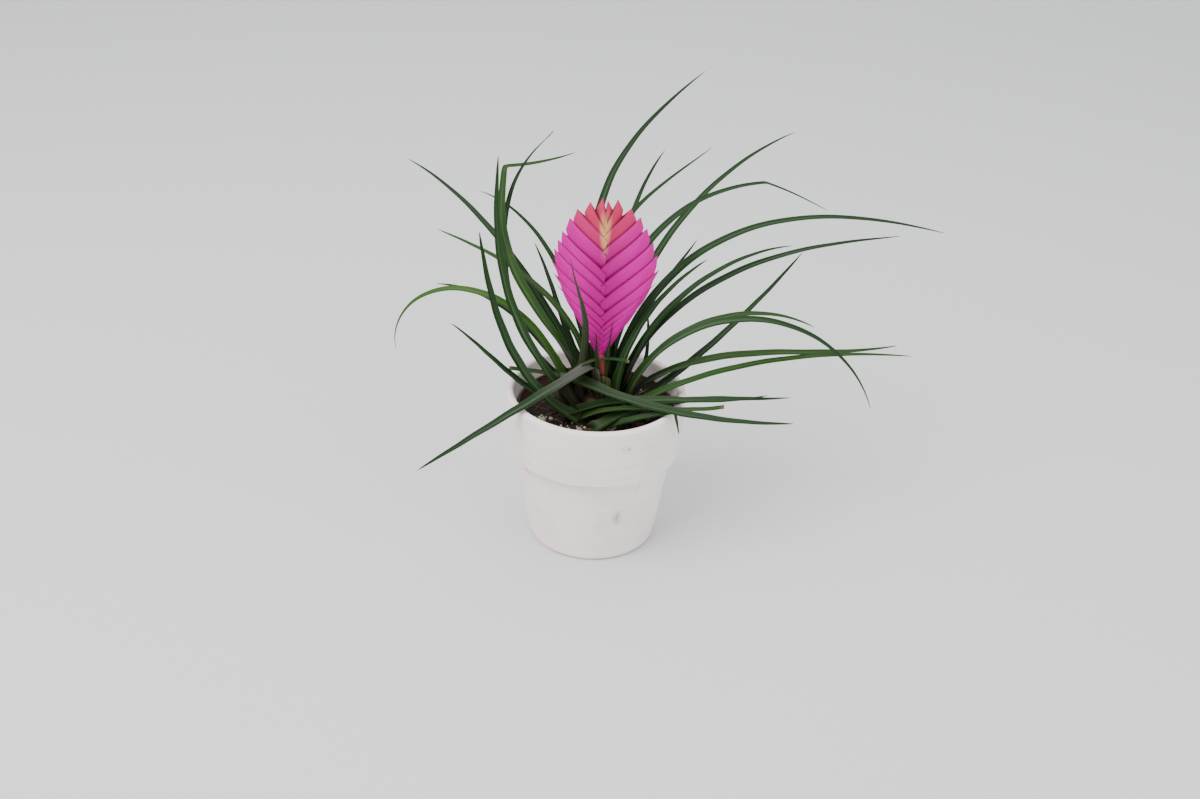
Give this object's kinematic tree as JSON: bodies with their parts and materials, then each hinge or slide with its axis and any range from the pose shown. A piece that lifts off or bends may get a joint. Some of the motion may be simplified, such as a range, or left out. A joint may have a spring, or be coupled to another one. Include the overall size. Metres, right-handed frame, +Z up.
{
  "type": "potted bromeliad",
  "caption": "Pink quill tillandsia in bloom, a paddle of overlapping magenta bracts over arching grassy leaves, in a whitewashed clay pot.",
  "frame": {"origin": "centre of the pot's underside", "axes": "+Z up along the pot's axis; the quill's flat face looks along -Y, the front"},
  "size_m": [0.3378, 0.2053, 0.2594],
  "materials": {
    "clay": "matte, whitewashed unglazed clay",
    "plastic": "matte brown, thermoformed",
    "bark": "rough, dark bark and peat mix",
    "crown_wood": "rough, ringed by leaf scars",
    "stalk": "satin, living plant tissue",
    "sheath": "satin, living plant tissue",
    "leaf": "satin, living plant tissue with a grey bloom",
    "bract": "satin, living plant tissue",
    "crest": "satin, living plant tissue"
  },
  "bodies": {
    "root": {"cover_pot": "clay", "nursery_pot": "plastic", "bark_mix": "bark", "crown": "crown_wood", "flower_stalk": "stalk", "stalk_sheath": "sheath", "stalk_bract": "stalk", "leaf_left_1": "leaf", "leaf_left_2": "leaf", "leaf_left_3": "leaf", "leaf_left_4": "leaf", "leaf_left_5": "leaf", "leaf_left_6": "leaf", "leaf_back_1": "leaf", "leaf_back_2": "leaf", "leaf_back_3": "leaf", "leaf_back_4": "leaf", "leaf_back_5": "leaf", "leaf_back_6": "leaf", "leaf_back_7": "leaf", "leaf_back_8": "leaf", "leaf_back_9": "leaf", "leaf_right_1": "leaf", "leaf_right_2": "leaf", "leaf_right_3": "leaf", "leaf_right_4": "leaf", "leaf_right_5": "leaf", "leaf_right_6": "leaf", "leaf_right_7": "leaf", "leaf_right_8": "leaf", "leaf_right_9": "leaf", "leaf_right_10": "leaf", "leaf_right_11": "leaf", "leaf_right_12": "leaf", "leaf_front_1": "leaf", "leaf_front_2": "leaf", "leaf_front_3": "leaf", "leaf_front_4": "leaf", "leaf_front_5": "leaf", "bract_right_1": "bract", "bract_right_2": "bract", "bract_right_3": "bract", "bract_right_4": "bract", "bract_right_5": "bract", "bract_right_6": "bract", "bract_right_7": "bract", "bract_right_8": "bract", "bract_right_9": "bract", "bract_right_10": "bract", "bract_left_1": "bract", "bract_left_2": "bract", "bract_left_3": "bract", "bract_left_4": "bract", "bract_left_5": "bract", "bract_left_6": "bract", "bract_left_7": "bract", "bract_left_8": "bract", "bract_left_9": "bract", "bract_left_10": "bract", "quill_crest": "crest"}
  },
  "joints": []
}
